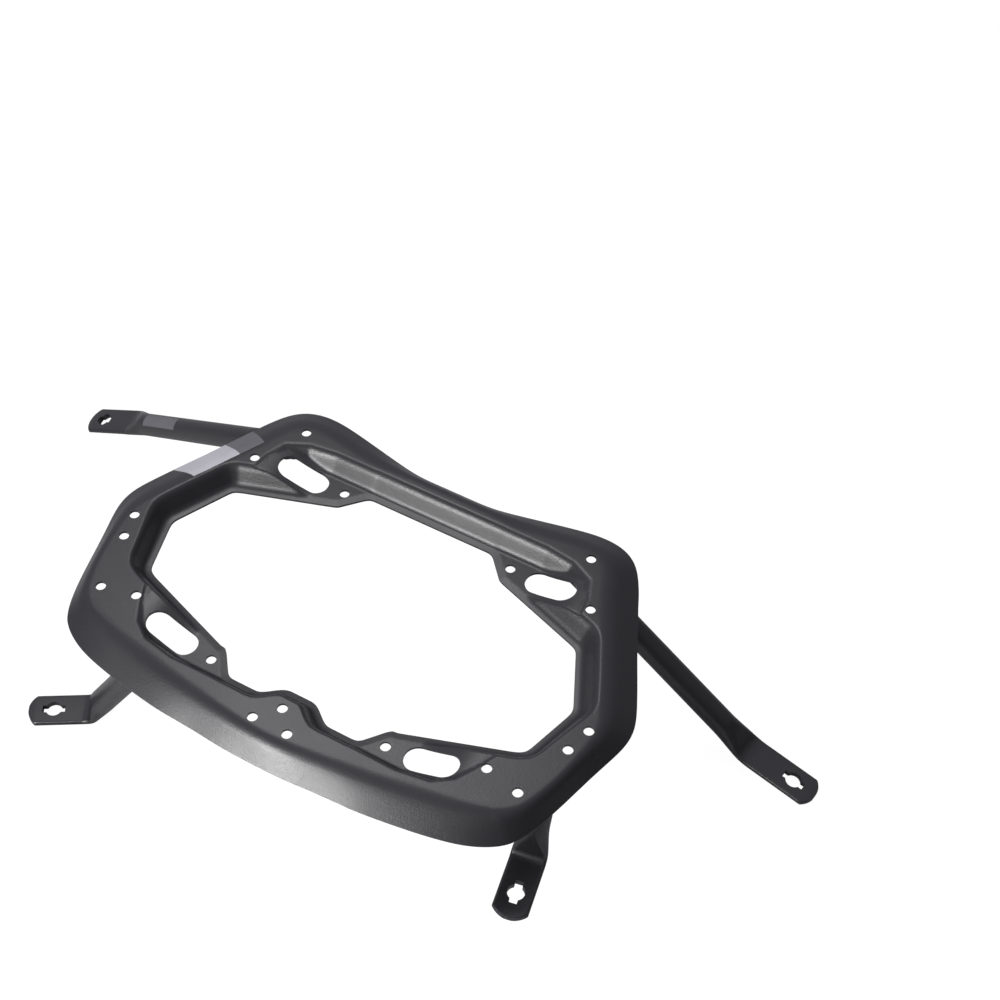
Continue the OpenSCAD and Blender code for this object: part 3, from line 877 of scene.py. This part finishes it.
# %% Lights
SKY_LOW = 0.12
SKY_HIGH = 0.76
SKY_AXIS = (-0.41, 0.31, 0.857)
SKY_COLOUR = (1.0, 0.965, 1.06, 1.0)
LAMPS = {
    "sheen_box": dict(position=(-0.33, -0.97, 0.65), target=(-0.03, -0.13, 0.0), size=(0.34, 0.22),
                      power=13.0),
    "top_box": dict(position=(-0.44, 0.44, 1.26), target=(0.0, -0.05, 0.0), size=(0.45, 0.45),
                    power=4.6),
    "front_box": dict(position=(-0.8, -2.3, 0.6), target=(0.0, 0.0, 0.0), size=(1.8, 0.5),
                      power=12.0),
}

def aim(position, target):
    """Rotation matrix rows whose third row points from the target to the position."""
    back = unit(np.array(position, float) - np.array(target, float))
    right = unit(np.cross([0.0, 0.0, 1.0], back))
    return np.stack([right, np.cross(back, right), back])


def area_light(name, position, target, size, power):
    """A lamp of two sizes in metres and a power in watts, aimed at a target."""
    light = bpy.data.lights.new(name, "AREA")
    light.shape = "RECTANGLE"
    light.size, light.size_y = size
    light.energy = power
    lamp = bpy.data.objects.new(name, light)
    axes = aim(position, target)
    matrix = np.eye(4)
    matrix[:3, :3] = axes.T
    matrix[:3, 3] = position
    lamp.matrix_world = Matrix(matrix.tolist())
    bpy.context.scene.collection.objects.link(lamp)


def make_sky():
    """A soft sky: its strength grows with the dot product of the direction and the sky's axis."""
    board = Board(bpy.data.worlds.new("studio"))
    sky = board.tree.nodes["Background"]
    place = board.add("ShaderNodeTexCoord", output="Generated")
    towards = board.add("ShaderNodeVectorMath", {0: place, 1: SKY_AXIS}, output="Value",
                        operation="DOT_PRODUCT")
    strength = board.add("ShaderNodeMapRange", {"Value": towards, "To Min": SKY_LOW,
                                                "To Max": SKY_HIGH})
    board.set(sky, "Strength", strength)
    board.set(sky, "Color", SKY_COLOUR)
    white = board.add("ShaderNodeBackground", {"Color": WHITE})
    seen = board.add("ShaderNodeLightPath", output="Is Camera Ray")
    pick = board.add("ShaderNodeMixShader", {0: seen, 1: Wire(board, sky.outputs[0]), 2: white})
    board.set(board.tree.nodes["World Output"], "Surface", pick)
    bpy.context.scene.world = board.owner


make_sky()
for lamp_name, lamp_values in LAMPS.items():
    area_light(lamp_name, **lamp_values)
    print(lamp_name, lamp_values["power"], "W")

# %% [markdown]
# The camera stands where the photograph's camera stood. It could be set by eye, but the round holes
# lie in one plane at known places, so its place and lens were worked out from them. Its axes are unit
# vectors in the plate's frame.

# %% Camera
CAMERA_AT = (0.41153, -0.55995, 0.94697)
CAMERA_RIGHT = (0.87159, 0.49019, 0.00709)
CAMERA_UP = (-0.38272, 0.67134, 0.63469)
CAMERA_BACK = (0.30636, -0.55590, 0.77274)
LENS = 63.489
SENSOR = 36.0
FAR_CLIP = 50.0

camera_data = bpy.data.cameras.new("camera")
camera_data.lens = LENS
camera_data.sensor_width = SENSOR
camera_data.clip_end = FAR_CLIP
camera = bpy.data.objects.new("camera", camera_data)
pose = np.eye(4)
pose[:3, 0] = unit(CAMERA_RIGHT)
pose[:3, 1] = unit(CAMERA_UP)
pose[:3, 2] = unit(CAMERA_BACK)
pose[:3, 3] = CAMERA_AT
camera.matrix_world = Matrix(pose.tolist())
bpy.context.scene.collection.objects.link(camera)
bpy.context.scene.camera = camera
bpy.context.scene.view_settings.view_transform = "Standard"
print("lens:", LENS, "mm")
